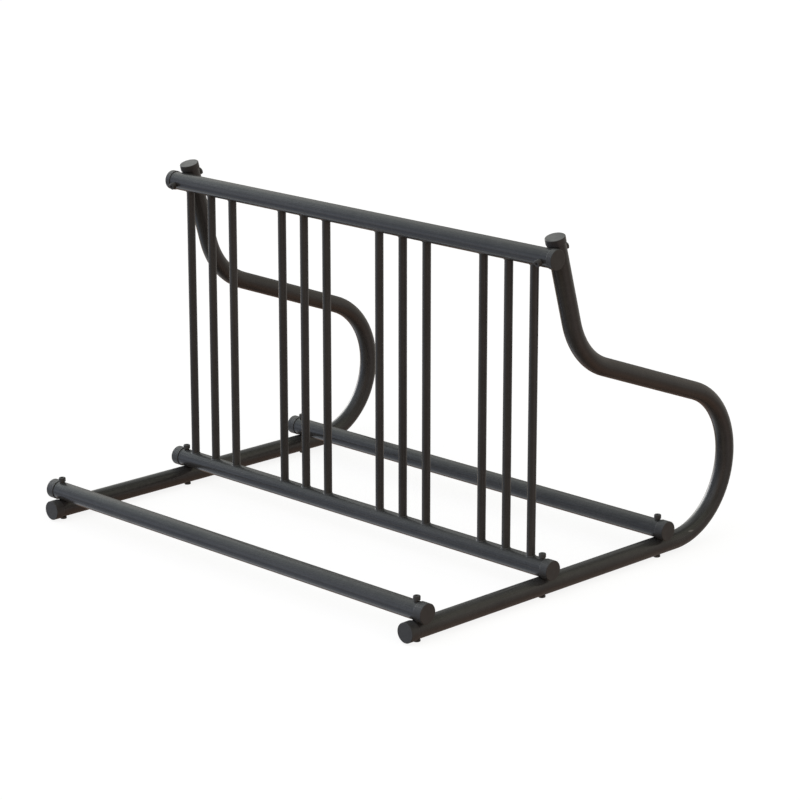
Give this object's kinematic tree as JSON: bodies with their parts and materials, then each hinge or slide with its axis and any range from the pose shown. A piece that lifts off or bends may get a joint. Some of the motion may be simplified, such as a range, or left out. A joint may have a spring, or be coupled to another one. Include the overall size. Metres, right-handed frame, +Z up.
{
  "type": "gate-style bike rack",
  "caption": "Free-standing gate-style bike rack: bent tube side frames, bolted floor rails and top rail, and groups of upright bars that hold a bicycle's wheel.",
  "frame": {"origin": "middle of the footprint, on the ground that the base bolt nuts stand on", "axes": "+X along the rails to the right-hand side frame, +Y to the rear where the side frames bend up, +Z up"},
  "size_m": [1.2164, 1.0449, 0.7877],
  "materials": {
    "powder_coat": "satin charcoal-black powder coat on steel",
    "end_cap": "satin black moulded vinyl",
    "fastener": "black coated steel"
  },
  "bodies": {
    "root": {"left_side_frame": "powder_coat", "right_side_frame": "powder_coat", "front_base_rail": "powder_coat", "gate_bottom_rail": "powder_coat", "rear_base_rail": "powder_coat", "gate_top_rail": "powder_coat", "gate_bar_01": "powder_coat", "gate_bar_02": "powder_coat", "gate_bar_03": "powder_coat", "gate_bar_04": "powder_coat", "gate_bar_05": "powder_coat", "gate_bar_06": "powder_coat", "gate_bar_07": "powder_coat", "gate_bar_08": "powder_coat", "gate_bar_09": "powder_coat", "gate_bar_10": "powder_coat", "gate_bar_11": "powder_coat", "gate_bar_12": "powder_coat", "front_rail_cap_left": "end_cap", "gate_bottom_cap_left": "end_cap", "rear_rail_cap_left": "end_cap", "gate_top_cap_left": "end_cap", "base_tube_cap_left": "end_cap", "upright_cap_left": "end_cap", "front_rail_cap_right": "end_cap", "gate_bottom_cap_right": "end_cap", "rear_rail_cap_right": "end_cap", "gate_top_cap_right": "end_cap", "base_tube_cap_right": "end_cap", "upright_cap_right": "end_cap", "base_bolts": "fastener", "base_nuts": "fastener", "top_bolts": "fastener", "top_nuts": "fastener"}
  },
  "joints": []
}
